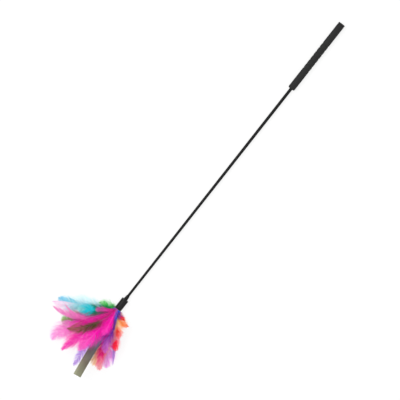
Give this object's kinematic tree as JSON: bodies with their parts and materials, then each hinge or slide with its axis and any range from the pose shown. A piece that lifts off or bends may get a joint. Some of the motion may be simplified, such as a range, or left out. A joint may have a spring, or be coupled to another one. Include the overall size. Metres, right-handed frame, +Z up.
{
  "type": "feather wand toy",
  "caption": "Slim black cat teaser wand with a round grip, a ferrule at its tip, and a bunch of dyed feathers with a strip of dull foil that sway on their quills.",
  "frame": {"origin": "centre of the flat face at the handle's end", "axes": "+X along the wand out of the handle's end, with the feathers at -X; +Z up from the surface on which the toy lies; +Y to the side of the turquoise feather"},
  "size_m": [0.6005, 0.1192, 0.0535],
  "materials": {
    "rod_black": "satin black moulded plastic",
    "ferrule_black": "satin black plastic tube",
    "grip_black": "soft matt black",
    "glue": "clear amber hot-melt glue",
    "thread": "off-white binding thread",
    "foil": "dull grey iridescent foil",
    "turquoise_dye": "dyed feather, paler tips",
    "light_green_dye": "dyed feather, paler tips",
    "rose_dye": "dyed feather, paler tips",
    "pale_pink_dye": "dyed feather, almost white tips",
    "magenta_dye": "dyed feather, paler tips",
    "lavender_dye": "dyed feather, paler tips",
    "orange_dye": "dyed feather, paler tips",
    "red_dye": "dyed feather, paler tips",
    "cyan_dye": "dyed down, almost white tips",
    "pink_dye": "dyed feather, paler tips",
    "crimson_dye": "dyed feather, paler tips",
    "purple_dye": "dyed feather, paler tips",
    "green_dye": "dyed down, paler tips",
    "teal_dye": "dyed feather, paler tips",
    "olive_natural": "natural barred feather, brownish pink tip",
    "violet_dye": "dyed feather, paler tips",
    "scarlet_dye": "dyed feather, paler tips",
    "coral_dye": "dyed feather, orange to coral",
    "blue_violet_dye": "dyed feather, blue root and violet tip"
  },
  "bodies": {
    "wand": {"wand_rod": "rod_black", "grip_sleeve": "grip_black", "butt_cap": "grip_black", "neck_collar": "rod_black", "ferrule": "ferrule_black", "glue_plug": "glue", "quill_binding": "thread"},
    "lower_feathers": {"turquoise_feather": "turquoise_dye", "light_green_feather": "light_green_dye", "rose_feather": "rose_dye", "pale_pink_feather": "pale_pink_dye", "magenta_sickle_feather": "magenta_dye", "lavender_feather": "lavender_dye", "orange_feather": "orange_dye", "red_feather": "red_dye", "cyan_down_feather": "cyan_dye", "pink_lance_feather": "pink_dye", "fuchsia_feather": "magenta_dye", "magenta_point_feather": "magenta_dye", "crimson_feather": "crimson_dye", "purple_spike_feather": "purple_dye"},
    "foil": {"foil_strip": "foil"},
    "upper_feathers": {"green_feather": "green_dye", "teal_feather": "teal_dye", "olive_feather": "olive_natural", "violet_feather": "violet_dye", "scarlet_feather": "scarlet_dye", "orange_spike_feather": "coral_dye", "pink_spike_feather": "pink_dye", "magenta_upper_feather": "magenta_dye", "magenta_body_feather": "magenta_dye", "blue_violet_feather": "blue_violet_dye", "pink_crown_feather": "magenta_dye", "magenta_crown_feather": "magenta_dye", "red_crown_feather": "scarlet_dye"}
  },
  "joints": [
    {"name": "lower_feather_sway", "type": "hinge", "parent": "wand", "child": "lower_feathers", "pos_m": [-0.495, 0, 0], "axis": [0, 0, 1], "range_deg": [-15, 15], "stiffness_Nm_per_rad": 0.003, "deforming": ["turquoise_feather", "light_green_feather", "rose_feather", "pale_pink_feather", "magenta_sickle_feather", "lavender_feather", "orange_feather", "red_feather", "cyan_down_feather", "pink_lance_feather", "fuchsia_feather", "magenta_point_feather", "crimson_feather", "purple_spike_feather"]},
    {"name": "foil_sway", "type": "hinge", "parent": "wand", "child": "foil", "pos_m": [-0.495, 0, 0], "axis": [0, 0, 1], "range_deg": [-12, 12], "stiffness_Nm_per_rad": 0.002, "deforming": ["foil_strip"]},
    {"name": "upper_feather_sway", "type": "hinge", "parent": "wand", "child": "upper_feathers", "pos_m": [-0.495, 0, 0], "axis": [0, 0, 1], "range_deg": [-20, 20], "stiffness_Nm_per_rad": 0.002, "deforming": ["green_feather", "teal_feather", "olive_feather", "violet_feather", "scarlet_feather", "orange_spike_feather", "pink_spike_feather", "magenta_upper_feather", "magenta_body_feather", "blue_violet_feather", "pink_crown_feather", "magenta_crown_feather", "red_crown_feather"]}
  ]
}
